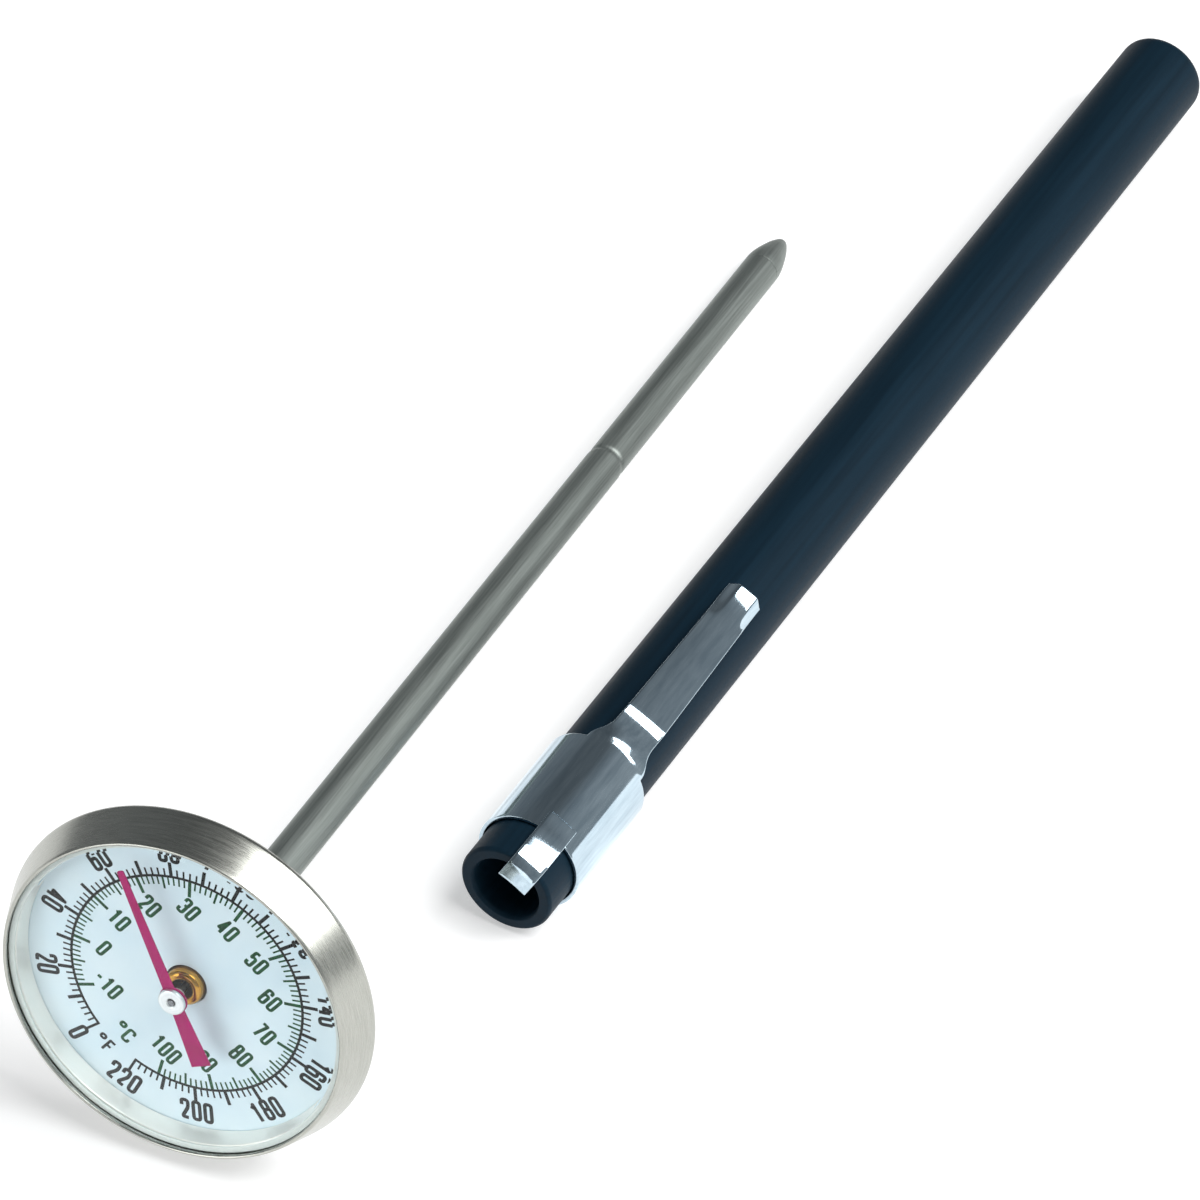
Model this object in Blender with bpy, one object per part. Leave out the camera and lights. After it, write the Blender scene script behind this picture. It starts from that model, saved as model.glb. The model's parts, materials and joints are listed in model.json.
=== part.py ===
"""Pocket dial thermometer with its clip-on sheath, laid side by side on a flat surface.

The thermometer is built on its own axis: local +Z points out of the dial towards the reader,
and the stem runs down local -Z. The sheath is built on its own axis too: local +Z runs from
the open mouth to the closed end, and local +Y points out of the tube where the clip sits.
One empty places each of the two. Sizes are in millimetres and are scaled to metres by MM.
"""
import math

import bmesh
import bpy
from mathutils import Matrix, Vector

MM = 0.001

# Head: radii and heights on the thermometer's axis, dial face at height 0
RIM_RADIUS = 17.2
RIM_HEIGHT = -0.62
LIP_RADIUS = 15.60
LIP_HEIGHT = 3.22
SHEET = 0.35
DIAL_RADIUS = 15.2
DIAL_THICKNESS = 0.30
BACK_HEIGHT = -1.75
LENS_RADIUS = 15.74
LENS_APEX = 4.40
LENS_THICKNESS = 0.80
LENS_SEAT = 2.40
LENS_EDGE = 2.86
LENS_STEPS = 6

# Stem: a thin tube with a crimped neck and a pointed tip
STEM_RADIUS = 1.80
STEM_BORE = 1.50
PROBE_RADIUS = 1.77
STEM_TOP = -1.85
NECK_HEIGHT = -86.9
NECK_DEPTH = 0.12
TUBE_END = -123.0
TIP_END = -128.6
TIP_SHOULDER = -123.7

# Movement: bushing, staff, bimetal helix and pointer
BUSHING_RADIUS = 1.75
SHANK_RADIUS = 1.42
BUSHING_BORE = 0.90
STAFF_RADIUS = 0.28
STAFF_TOP = 2.98
STAFF_END = -88.1
GUIDE_BORE = 0.34
COIL_RADIUS = 1.10
COIL_STRIP = 0.14
COIL_WIDTH = 0.54
COIL_TOP = -88.8
COIL_END = -120.2
COIL_TURNS = 13
COIL_STEPS = 12
POINTER_HEIGHT = 2.30
POINTER_THICKNESS = 0.15
POINTER_TIP = 12.7
POINTER_TAIL = 6.7

# Calibration nut behind the head
NUT_FLATS = 8.0
NUT_TOP = -2.15
NUT_HEIGHT = 3.0

# Dial scale: the reading at rest and the angle of the scale, anticlockwise from the right
SCALE_ZERO = 221.47
SCALE_STEP = 1.52775
REST_READING = 70.0

# Sheath: a closed tube with a little draft
SHEATH_RADIUS = 4.50
SHEATH_END_RADIUS = 4.23
SHEATH_LENGTH = 130.0
SHEATH_MOUTH_BORE = 3.20
SHEATH_BORE = 3.05
SHEATH_FLOOR = 1.6

# Clip: one sheet of spring steel round the sheath
CLIP_ROLL = 30.0
BAND_START = 4.1
BAND_END = 16.2
BAND_INNER = 4.62
CLIP_SHEET = 0.38
BAND_SEAM = 8.0
ARM_GAP = 0.10
ARM_ROOT_WIDTH = 4.3
ARM_TIP_WIDTH = 3.4
TAB_WIDTH = 3.0

# Layout on the resting surface, which is height 0: the band carries the sheath, and the rim
# and the tip carry the thermometer
MOUTH_X = 11.80
MOUTH_Y = -45.34
MOUTH_Z = BAND_INNER + CLIP_SHEET
DIAL_X = MOUTH_X - 11.75
DIAL_Y = MOUTH_Y - 33.64
STEM_YAW = 4.73
STEM_TILT = math.atan((RIM_RADIUS - PROBE_RADIUS) / (RIM_HEIGHT - TIP_SHOULDER))
DIAL_Z = RIM_RADIUS * math.cos(STEM_TILT) - RIM_HEIGHT * math.sin(STEM_TILT)

FINE = 48
MEDIUM = 28
COARSE = 20
SHARP_ANGLE = math.radians(35)


def clear_scene():
    for old in list(bpy.data.objects):
        bpy.data.objects.remove(old, do_unlink=True)


def finish(name, color, roughness, metallic, alpha=1.0):
    """One Principled material."""
    material = bpy.data.materials.new(name)
    material.use_nodes = True
    shader = material.node_tree.nodes["Principled BSDF"]
    shader.inputs["Base Color"].default_value = (*color, 1.0)
    shader.inputs["Roughness"].default_value = roughness
    shader.inputs["Metallic"].default_value = metallic
    shader.inputs["Alpha"].default_value = alpha
    return material


def add_object(name, bm, parent, material, scale=MM):
    """Turn a bmesh in millimetres into a smooth-shaded object under its parent."""
    bmesh.ops.recalc_face_normals(bm, faces=bm.faces)
    bmesh.ops.scale(bm, vec=(scale, scale, scale), verts=bm.verts)
    mesh = bpy.data.meshes.new(name)
    bm.to_mesh(mesh)
    bm.free()
    mesh.shade_smooth()
    mesh.set_sharp_from_angle(angle=SHARP_ANGLE)
    mesh.materials.append(material)
    obj = bpy.data.objects.new(name, mesh)
    bpy.context.collection.objects.link(obj)
    obj.parent = parent
    return obj


def turned(name, profile, parent, material, steps=MEDIUM, sweep=360.0, start=0.0):
    """Spin a (radius, height) outline round local Z. An outline that starts and ends on the
    axis is left open there, and any other is closed on itself."""
    bm = bmesh.new()
    verts = [bm.verts.new((radius, 0.0, height)) for radius, height in profile]
    on_axis = profile[0][0] == 0.0 and profile[-1][0] == 0.0
    pairs = list(zip(verts, verts[1:]))
    if not on_axis:
        pairs.append((verts[-1], verts[0]))
    edges = [bm.edges.new(pair) for pair in pairs]
    turn = Matrix.Rotation(math.radians(start), 3, "Z")
    bmesh.ops.rotate(bm, cent=(0, 0, 0), matrix=turn, verts=verts)
    bmesh.ops.spin(bm, geom=verts + edges, cent=(0, 0, 0), axis=(0, 0, 1),
                   angle=math.radians(sweep), steps=steps, use_duplicate=False)
    bmesh.ops.remove_doubles(bm, verts=bm.verts, dist=1e-4)
    if sweep < 360.0:
        open_edges = [edge for edge in bm.edges if edge.is_boundary]
        bmesh.ops.holes_fill(bm, edges=open_edges, sides=0)
    return add_object(name, bm, parent, material)


def ring(name, inner, outer, low, high, parent, material, steps=MEDIUM):
    """A plain turned ring with square edges."""
    profile = [(inner, low), (outer, low), (outer, high), (inner, high)]
    return turned(name, profile, parent, material, steps)


def sheet_strip(name, path, widths, droops, thickness, parent, material, across=4):
    """A bent strip of sheet metal. The path is (height, radius) points along the sheath, the
    width runs along local X, and droop bends both edges down towards the tube."""
    count = len(path)
    rows = {1: [], -1: []}
    bm = bmesh.new()
    for index, (height, radius) in enumerate(path):
        before = Vector(path[max(index - 1, 0)])
        after = Vector(path[min(index + 1, count - 1)])
        along = (after - before).normalized()
        normal = Vector((-along.y, along.x))
        for side in (1, -1):
            row = []
            for column in range(across + 1):
                place = 2.0 * column / across - 1.0
                drop = droops[index] * place * place
                point = Vector((height, radius - drop)) + normal * (side * thickness / 2)
                row.append(bm.verts.new((place * widths[index] / 2, point.y, point.x)))
            rows[side].append(row)
    for side in (1, -1):
        for low, high in zip(rows[side], rows[side][1:]):
            for column in range(across):
                quad = (low[column], low[column + 1], high[column + 1], high[column])
                bm.faces.new(quad)
    for index in range(count - 1):
        for column in (0, across):
            top, under = rows[1], rows[-1]
            quad = (top[index][column], top[index + 1][column],
                    under[index + 1][column], under[index][column])
            bm.faces.new(quad)
    for index in (0, count - 1):
        for column in range(across):
            top, under = rows[1][index], rows[-1][index]
            bm.faces.new((top[column], top[column + 1], under[column + 1], under[column]))
    return add_object(name, bm, parent, material)


def hide_cutter(obj):
    obj.hide_render = True
    obj.display_type = "WIRE"


def combine(obj, tool, operation):
    """A Boolean with an object that isn't part of the build itself."""
    hide_cutter(tool)
    modifier = obj.modifiers.new(operation.lower(), "BOOLEAN")
    modifier.operation = operation
    modifier.solver = "EXACT"
    modifier.object = tool


def axis_empty(name, location, rotation):
    empty = bpy.data.objects.new(name, None)
    empty.matrix_world = Matrix.Translation(Vector(location) * MM) @ rotation.to_4x4()
    bpy.context.collection.objects.link(empty)
    return empty


def thermometer_axis():
    """Front of the dial along local Z, dial upright along local Y."""
    yaw, tilt = math.radians(STEM_YAW), STEM_TILT
    stem = Vector((-math.sin(yaw) * math.cos(tilt), math.cos(yaw) * math.cos(tilt),
                   -math.sin(tilt)))
    front = -stem
    up = (Vector((0, 0, 1)) - front * front.z).normalized()
    right = up.cross(front)
    rotation = Matrix((right, up, front)).transposed()
    return axis_empty("thermometer_axis", (DIAL_X, DIAL_Y, DIAL_Z), rotation)


def sheath_axis():
    """Tube along world Y, clip rolled from straight up towards world +X."""
    roll = math.radians(CLIP_ROLL)
    out = Vector((math.sin(roll), 0, math.cos(roll)))
    along = Vector((0, 1, 0))
    rotation = Matrix((out.cross(along), out, along)).transposed()
    return axis_empty("sheath_axis", (MOUTH_X, MOUTH_Y, MOUTH_Z), rotation)


def build_case(axis, steel, rubber, plate_paint, aluminium, clear, clear_rubber):
    """Everything that turns as one when the dial is calibrated."""
    bezel = [(LIP_RADIUS, 3.02), (15.74, LIP_HEIGHT), (15.88, 3.18), (15.97, 3.05),
             (17.12, -0.30), (RIM_RADIUS, RIM_HEIGHT), (17.08, -0.95), (16.60, -1.45),
             (15.70, -1.60), (15.70, -1.32), (16.45, -1.12), (16.78, -0.80),
             (16.80, -0.45), (15.80, 2.88), (LIP_RADIUS, 2.90)]
    turned("bezel", bezel, axis, steel, FINE)

    inside = BACK_HEIGHT + SHEET
    back = [(1.62, BACK_HEIGHT), (15.20, BACK_HEIGHT), (15.50, -1.22), (15.52, -1.02),
            (16.30, -1.02), (16.30, -0.72), (15.25, -0.72), (15.05, inside), (1.62, inside)]
    turned("case_back", back, axis, steel, FINE)

    ring("dial_seat_gasket", 14.40, 15.60, -0.64, -0.36, axis, rubber, FINE)
    ring("dial_plate", 1.90, DIAL_RADIUS, -DIAL_THICKNESS, 0.0, axis, plate_paint, FINE)
    spacer = [(14.75, 0.08), (15.30, 0.08), (15.30, 2.02), (14.95, 2.02)]
    turned("spacer_ring", spacer, axis, aluminium, FINE)
    ring("lens_gasket", 14.95, 15.60, 2.10, 2.32, axis, clear_rubber, FINE)

    # The dome falls with the cube of the radius, so it is flat in the middle and curls at
    # its edge, where a flat flange sits under the lip.
    dome_radius = LIP_RADIUS - 0.05
    under = LENS_APEX - LENS_THICKNESS
    outer = []
    inner = []
    for step in range(LENS_STEPS + 1):
        share = math.sin(0.5 * math.pi * step / LENS_STEPS)
        curl = share ** 3
        outer.append((dome_radius * share, LENS_APEX - (LENS_APEX - LENS_EDGE) * curl))
        inner.append(((dome_radius - 0.70) * share, under - (under - LENS_SEAT) * curl))
    rim = [(LENS_RADIUS, LENS_EDGE - 0.02), (LENS_RADIUS, LENS_SEAT)]
    lens = outer + rim + inner[::-1]
    turned("lens", lens, axis, clear, FINE)


def build_stem(axis, steel, brass, spring_steel, bimetal):
    """Tube, tip, bushing, nut and the fixed parts inside the tube."""
    neck_top = NECK_HEIGHT + 0.35
    neck_low = NECK_HEIGHT - 0.35
    tube = [(STEM_BORE, STEM_TOP), (STEM_RADIUS - 0.05, STEM_TOP),
            (STEM_RADIUS, STEM_TOP - 0.05), (STEM_RADIUS, neck_top),
            (STEM_RADIUS - NECK_DEPTH, NECK_HEIGHT + 0.10),
            (STEM_RADIUS - NECK_DEPTH, NECK_HEIGHT - 0.10),
            (PROBE_RADIUS, neck_low), (PROBE_RADIUS, TUBE_END), (STEM_BORE - 0.02, TUBE_END),
            (STEM_BORE - 0.02, neck_low), (STEM_BORE - NECK_DEPTH, NECK_HEIGHT - 0.10),
            (STEM_BORE - NECK_DEPTH, NECK_HEIGHT + 0.10), (STEM_BORE, neck_top)]
    turned("stem_tube", tube, axis, steel, MEDIUM)

    tip = [(0.0, -121.90), (1.40, -121.90), (1.40, TUBE_END - 0.06),
           (PROBE_RADIUS, TUBE_END - 0.06), (PROBE_RADIUS, TIP_SHOULDER),
           (1.62, -124.9), (1.15, -126.9), (0.62, -128.2), (0.34, -128.52), (0.0, TIP_END)]
    turned("stem_tip", tip, axis, steel, MEDIUM)

    bushing = [(BUSHING_BORE, 0.62), (BUSHING_BORE + 0.18, 0.86), (1.42, 0.82),
               (1.68, 0.58), (BUSHING_RADIUS, 0.30), (BUSHING_RADIUS, -1.30),
               (SHANK_RADIUS, -1.30), (SHANK_RADIUS, -6.0), (BUSHING_BORE, -6.0)]
    turned("bushing", bushing, axis, brass, MEDIUM)

    ring("friction_washer", 1.92, 3.40, -2.06, -1.85, axis, spring_steel, MEDIUM)
    build_nut(axis, steel)

    ring("staff_guide_upper", GUIDE_BORE, BUSHING_BORE - 0.05, -5.8, -4.6, axis, brass, COARSE)
    ring("staff_guide_lower", GUIDE_BORE, SHANK_RADIUS, -86.4, -85.0, axis, brass, COARSE)
    build_coil(axis, bimetal)
    anchor = [(0.0, -121.70), (1.40, -121.70), (1.40, -120.95), (0.0, -120.95)]
    turned("coil_anchor", anchor, axis, spring_steel, COARSE)


def build_nut(axis, steel):
    """A hexagon with a round bore for the stem."""
    bm = bmesh.new()
    corner = NUT_FLATS / math.sqrt(3)
    middle = NUT_TOP - NUT_HEIGHT / 2
    bmesh.ops.create_cone(bm, cap_ends=True, segments=6, radius1=corner, radius2=corner,
                          depth=NUT_HEIGHT, matrix=Matrix.Translation((0, 0, middle)))
    nut = add_object("calibration_nut", bm, axis, steel)
    bm = bmesh.new()
    bmesh.ops.create_cone(bm, cap_ends=True, segments=COARSE, radius1=STEM_RADIUS + 0.10,
                          radius2=STEM_RADIUS + 0.10, depth=NUT_HEIGHT * 2,
                          matrix=Matrix.Translation((0, 0, middle)))
    combine(nut, add_object("nut_bore_cutter", bm, axis, steel), "DIFFERENCE")


def build_coil(axis, bimetal):
    """The helix: a flat strip on edge, wound down inside the tube."""
    bm = bmesh.new()
    total = COIL_TURNS * COIL_STEPS
    rows = []
    for step in range(total + 1):
        angle = 2 * math.pi * step / COIL_STEPS
        height = COIL_TOP + (COIL_END - COIL_TOP) * step / total
        row = []
        corners = ((-1, 1), (1, 1), (1, -1), (-1, -1))
        for out, up in corners:
            radius = COIL_RADIUS + out * COIL_STRIP / 2
            lift = up * COIL_WIDTH / 2
            place = (radius * math.cos(angle), radius * math.sin(angle), height + lift)
            row.append(bm.verts.new(place))
        rows.append(row)
    for low, high in zip(rows, rows[1:]):
        for side in range(4):
            other = (side + 1) % 4
            bm.faces.new((low[side], low[other], high[other], high[side]))
    bm.faces.new(rows[0])
    bm.faces.new(rows[-1])
    add_object("bimetal_coil", bm, axis, bimetal)


def build_pointer(axis, red, white_metal, spring_steel):
    """Blade, hub, staff and the collar that the helix turns."""
    top = STAFF_TOP
    staff = [(0.0, STAFF_END), (STAFF_RADIUS, STAFF_END), (STAFF_RADIUS, top - 0.06),
             (STAFF_RADIUS - 0.06, top), (0.0, top)]
    turned("staff", staff, axis, spring_steel, COARSE)
    ring("coil_collar", STAFF_RADIUS + 0.05, 0.95, -88.2, -87.45, axis, spring_steel, COARSE)
    hub = [(0.34, 1.45), (0.62, 1.45), (0.62, 2.50), (1.18, 2.50), (1.22, 2.58),
           (1.22, 2.84), (1.10, 2.92), (0.34, 2.92)]
    turned("pointer_hub", hub, axis, white_metal, COARSE)

    # One outline: long arm to the tip, round boss in the middle, short flared tail.
    boss = 1.30
    tip_half, arm_half, tail_neck, tail_half = 0.33, 0.56, 0.62, 0.95
    arm_angle = math.asin(arm_half / boss)
    tail_angle = math.asin(tail_neck / boss)
    outline = [(POINTER_TIP, -tip_half), (POINTER_TIP + 0.12, 0.0), (POINTER_TIP, tip_half)]
    for step in range(9):
        angle = arm_angle + (math.pi - tail_angle - arm_angle) * step / 8
        outline.append((boss * math.cos(angle), boss * math.sin(angle)))
    outline += [(-POINTER_TAIL, tail_half), (-POINTER_TAIL, -tail_half)]
    for step in range(9):
        angle = math.pi + tail_angle + (math.pi - tail_angle - arm_angle) * step / 8
        outline.append((boss * math.cos(angle), boss * math.sin(angle)))
    bm = bmesh.new()
    low = [bm.verts.new((x, y, POINTER_HEIGHT)) for x, y in outline]
    face = bm.faces.new(low)
    raised = bmesh.ops.extrude_face_region(bm, geom=[face])
    top_verts = [item for item in raised["geom"] if isinstance(item, bmesh.types.BMVert)]
    bmesh.ops.translate(bm, vec=(0, 0, POINTER_THICKNESS), verts=top_verts)
    blade = add_object("pointer", bm, axis, red)
    blade.rotation_euler.z = math.radians(SCALE_ZERO - SCALE_STEP * REST_READING)
    bm = bmesh.new()
    bmesh.ops.create_cone(bm, cap_ends=True, segments=COARSE, radius1=0.70, radius2=0.70,
                          depth=1.0, matrix=Matrix.Translation((0, 0, POINTER_HEIGHT)))
    combine(blade, add_object("pointer_eye_cutter", bm, axis, red), "DIFFERENCE")


def build_sheath(axis, plastic):
    """The moulded tube: open mouth, long blind bore, softly rounded closed end."""
    corner = 1.1
    floor = SHEATH_LENGTH - SHEATH_FLOOR
    outline = [(0.0, floor), (SHEATH_BORE - 0.6, floor), (SHEATH_BORE, floor - 0.6),
               (SHEATH_BORE, 9.0), (SHEATH_MOUTH_BORE, 0.35), (SHEATH_MOUTH_BORE + 0.25, 0.0),
               (SHEATH_RADIUS - 0.25, 0.0), (SHEATH_RADIUS, 0.30)]
    for step in range(5):
        angle = 0.5 * math.pi * step / 4
        outline.append((SHEATH_END_RADIUS - corner + corner * math.cos(angle),
                        SHEATH_LENGTH - corner + corner * math.sin(angle)))
    outline.append((0.0, SHEATH_LENGTH))
    turned("sheath_tube", outline, axis, plastic, 40)


def build_clip(axis, nickel):
    """A sleeve, a tab that folds over the mouth, and the long arm."""
    outer = BAND_INNER + CLIP_SHEET
    band = [(BAND_INNER, BAND_START), (outer, BAND_START), (outer, BAND_END),
            (BAND_INNER, BAND_END)]
    seam = 270.0 + BAND_SEAM / 2
    sleeve = turned("clip_band", band, axis, nickel, 44, 360.0 - BAND_SEAM, seam)

    half = CLIP_SHEET / 2
    lap = outer + half - 0.12
    tab = [(5.9, lap), (4.6, lap), (3.6, 5.02), (1.6, 4.98), (0.2, 5.00), (-0.45, 4.72),
           (-0.85, 4.10), (-1.05, 3.40), (-1.15, 2.75)]
    tongue = sheet_strip("tab_guide", tab, [TAB_WIDTH] * len(tab), [0.0] * len(tab),
                         CLIP_SHEET, axis, nickel)
    combine(sleeve, tongue, "UNION")

    root = BAND_INNER + half
    arm = [(BAND_END + ARM_GAP, root), (16.75, root + 0.10), (17.35, root + 0.60),
           (18.05, root + 1.35), (18.85, root + 1.78), (19.80, root + 1.86), (25.0, root + 1.48),
           (31.0, root + 1.02), (35.6, root + 0.66), (37.4, root + 0.62), (38.6, root + 0.74),
           (39.5, root + 1.08)]
    reach = arm[-1][0] - arm[0][0]
    widths = []
    droops = []
    for height, _ in arm:
        share = (height - arm[0][0]) / reach
        widths.append(ARM_ROOT_WIDTH + (ARM_TIP_WIDTH - ARM_ROOT_WIDTH) * share)
        droops.append(0.34 * max(0.0, (share - 0.72) / 0.28))
    droops[0] = 0.30
    droops[1] = 0.22
    # The arm hangs on an empty at its root, which is the line that it flexes about.
    pivot = bpy.data.objects.new("clip_pivot", None)
    pivot.parent = axis
    pivot.location = (0, root * MM, (BAND_END + ARM_GAP) * MM)
    bpy.context.collection.objects.link(pivot)
    local = [(height - arm[0][0], radius - root) for height, radius in arm]
    sheet_strip("clip_arm", local, widths, droops, CLIP_SHEET, pivot, nickel)


def main():
    clear_scene()
    steel = finish("stainless_steel", (0.62, 0.61, 0.58), 0.32, 1.0)
    spring_steel = finish("spring_steel", (0.45, 0.45, 0.46), 0.30, 1.0)
    brass = finish("brass", (0.78, 0.57, 0.25), 0.25, 1.0)
    bimetal = finish("bimetal", (0.50, 0.42, 0.34), 0.40, 1.0)
    paint = finish("dial_enamel", (0.82, 0.88, 0.90), 0.45, 0.0)
    aluminium = finish("aluminium", (0.80, 0.81, 0.82), 0.30, 1.0)
    white_metal = finish("hub_aluminium", (0.88, 0.90, 0.91), 0.35, 0.6)
    red = finish("pointer_lacquer", (0.62, 0.03, 0.14), 0.40, 0.0)
    clear = finish("lens_acrylic", (0.95, 0.98, 0.98), 0.04, 0.0, 0.25)
    rubber = finish("gasket_rubber", (0.03, 0.03, 0.03), 0.80, 0.0)
    clear_rubber = finish("clear_gasket", (0.80, 0.82, 0.80), 0.40, 0.0)
    plastic = finish("sheath_plastic", (0.012, 0.025, 0.040), 0.38, 0.0)
    nickel = finish("nickel_steel", (0.72, 0.75, 0.78), 0.15, 1.0)

    head = thermometer_axis()
    build_case(head, steel, rubber, paint, aluminium, clear, clear_rubber)
    build_stem(head, steel, brass, spring_steel, bimetal)
    build_pointer(head, red, white_metal, spring_steel)
    tube = sheath_axis()
    build_sheath(tube, plastic)
    build_clip(tube, nickel)


main()
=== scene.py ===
"""Looks for the pocket dial thermometer and its clip-on sheath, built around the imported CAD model.

Every new piece is a numpy surface in millimetres on one of two local frames, the dial's or
the sheath's, and is placed in the frame of the CAD model in metres.
"""
import json
import math

import bmesh
import bpy
import numpy as np
from bpy.props import FloatProperty, IntProperty, PointerProperty
from mathutils import Matrix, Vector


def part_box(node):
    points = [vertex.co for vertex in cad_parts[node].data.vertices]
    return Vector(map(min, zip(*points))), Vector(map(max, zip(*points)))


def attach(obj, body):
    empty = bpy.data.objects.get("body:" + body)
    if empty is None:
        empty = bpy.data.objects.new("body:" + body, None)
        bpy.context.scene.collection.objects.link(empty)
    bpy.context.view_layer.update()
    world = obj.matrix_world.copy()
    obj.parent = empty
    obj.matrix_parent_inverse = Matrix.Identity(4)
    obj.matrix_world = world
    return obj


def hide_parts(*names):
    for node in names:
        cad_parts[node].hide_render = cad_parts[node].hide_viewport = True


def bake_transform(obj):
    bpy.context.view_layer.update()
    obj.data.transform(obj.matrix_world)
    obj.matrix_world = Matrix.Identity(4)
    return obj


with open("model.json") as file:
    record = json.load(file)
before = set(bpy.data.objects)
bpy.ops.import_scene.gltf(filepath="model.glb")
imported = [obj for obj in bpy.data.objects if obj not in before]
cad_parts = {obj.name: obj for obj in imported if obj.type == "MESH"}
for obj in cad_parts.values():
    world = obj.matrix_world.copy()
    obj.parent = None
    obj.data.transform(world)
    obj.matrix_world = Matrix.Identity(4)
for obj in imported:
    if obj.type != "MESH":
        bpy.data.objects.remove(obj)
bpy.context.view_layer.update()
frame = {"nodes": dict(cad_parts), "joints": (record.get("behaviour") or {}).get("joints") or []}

bl_info = {
    "name": "Pocket Dial Thermometer",
    "version": (1, 0, 0),
    "blender": (4, 5, 0),
    "location": "View3D > Sidebar > Thermometer",
    "description": "Builds the visible pieces of a pocket dial thermometer and its sheath",
    "category": "Object",
}

MM = 0.001
FULL_TURN = 2 * math.pi


def linear(code):
    """An sRGB hex colour such as #B0204F as linear red, green and blue."""
    value = np.array([int(code[i:i + 2], 16) for i in (1, 3, 5)]) / 255
    low = value / 12.92
    high = ((value + 0.055) / 1.055) ** 2.4
    return tuple(float(v) for v in np.where(value <= 0.04045, low, high))


# ---------------------------------------------------------------- local frames

def joint(name):
    return next(j for j in frame["joints"] if j["name"] == name)


def dial_frame():
    """Origin at the middle of the dial face; rows are right, up and front of the dial."""
    stem = np.array(joint("pointer_turn")["axis"], float)
    front = -stem / np.linalg.norm(stem)
    up = np.array((0.0, 0.0, 1.0)) - front * front[2]
    up /= np.linalg.norm(up)
    return np.array(joint("pointer_turn")["pos_m"]), np.array((np.cross(up, front), up, front))


def sheath_frame():
    """Origin at the middle of the mouth; rows are across the clip, out to it and along."""
    low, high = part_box("sheath_tube")
    origin = np.array(((low.x + high.x) / 2, low.y, (low.z + high.z) / 2))
    along = np.array((0.0, 1.0, 0.0))
    out = np.cross(np.array(joint("clip_flex")["axis"], float), along)
    out /= np.linalg.norm(out)
    return origin, np.array((np.cross(out, along), out, along))


DIAL = dial_frame()
SHEATH = sheath_frame()


# ---------------------------------------------------------------- shapes in numpy

def rounded(corners, radius, closed=True, steps=6):
    """A line through corners with each corner P turned into the curve
    (1-t)^2 A + 2t(1-t) P + t^2 B, where A and B lie a radius before and after P.
    A guard point on each straight just outside the curve keeps flat sides flat."""
    p = np.asarray(corners, float)
    size = np.broadcast_to(np.asarray(radius, float), (len(p),))
    rows = []
    for to in (np.roll(p, 1, 0) - p, np.roll(p, -1, 0) - p):
        length = np.linalg.norm(to, axis=1)
        reach = np.minimum(size, 0.40 * length)
        guard = np.minimum(1.4 * reach, 0.48 * length)
        unit = to / np.maximum(length, 1e-9)[:, None]
        rows.append((p + unit * reach[:, None], p + unit * guard[:, None]))
    t = np.linspace(0, 1, steps + 1)[None, :, None]
    curve = ((1 - t) ** 2 * rows[0][0][:, None] + 2 * t * (1 - t) * p[:, None]
             + t ** 2 * rows[1][0][:, None])
    full = np.concatenate((rows[0][1][:, None], curve, rows[1][1][:, None]), axis=1)
    if closed:
        return full.reshape(-1, p.shape[1])
    inner = full[1:-1].reshape(-1, p.shape[1])
    return np.concatenate((p[:1], inner, p[-1:]))


def refined(line, longest):
    """The same line with its long straights cut into parts no longer than longest."""
    step = np.linalg.norm(np.diff(line, axis=0), axis=1)
    counts = np.maximum(np.ceil(step / longest).astype(int), 1)
    start = np.repeat(np.arange(len(counts)), counts)
    inside = np.arange(counts.sum()) - np.repeat(np.cumsum(counts) - counts, counts)
    share = (inside / counts[start])[:, None]
    cut = line[start] * (1 - share) + line[start + 1] * share
    return np.concatenate((cut, line[-1:]))


def loop(line):
    """The line with its first point once more at its end."""
    return np.vstack((line, line[:1]))


def turned(profile, around):
    """A (radius, height) profile carried round the axis: x = r cos a, y = r sin a, z = h.
    The lay is the same point on a cylinder of one radius with z the length run along the
    profile, so that turning marks follow the surface without a seam."""
    profile = np.asarray(profile, float)
    angle = np.linspace(0, FULL_TURN, around, endpoint=False)
    r, h = profile[:, :1], profile[:, 1:]
    points = np.stack((r * np.cos(angle), r * np.sin(angle), h + 0 * angle), -1)
    run = np.concatenate(((0,), np.cumsum(np.linalg.norm(np.diff(profile, axis=0), axis=1))))
    outer = profile[:, 0].max()
    lay = np.stack(np.broadcast_arrays(outer * np.cos(angle), outer * np.sin(angle),
                                       run[:, None]), -1)
    return points, lay, False, True


def bar(path, half_width, half_height, rise):
    """A printed stroke: a flat rectangle, half_width to each side of a path of (x, y)
    points and half_height above and below rise, with both ends closed to a point."""
    path = np.asarray(path, float)
    along = np.gradient(path, axis=0)
    along /= np.maximum(np.linalg.norm(along, axis=1), 1e-9)[:, None]
    side = np.stack((-along[:, 1], along[:, 0]), 1)
    edge = np.array(((-1, -1), (1, -1), (1, 1), (-1, 1)), float)
    flat = path[:, None] + side[:, None] * edge[None, :, :1] * half_width
    height = np.broadcast_to(rise + edge[:, 1] * half_height, (len(path), 4))
    points = np.concatenate((flat, height[..., None]), -1)
    ends = points.mean(1, keepdims=True).repeat(4, 1)
    points = np.concatenate((ends[:1], points, ends[-1:]))
    return points, points, False, True


def place(points, axes):
    """Local millimetres to metres in the frame of the model."""
    origin, rows = axes
    return origin + (points * MM) @ rows


def quads(rows, cols, wrap_rows, wrap_cols):
    """Corner numbers of every four-sided face of a grid of points."""
    i = np.arange(rows if wrap_rows else rows - 1)[:, None]
    j = np.arange(cols if wrap_cols else cols - 1)[None, :]
    corners = [((i + a) % rows) * cols + (j + b) % cols
               for a, b in ((0, 0), (0, 1), (1, 1), (1, 0))]
    return np.stack(corners, -1).reshape(-1, 4)


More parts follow.
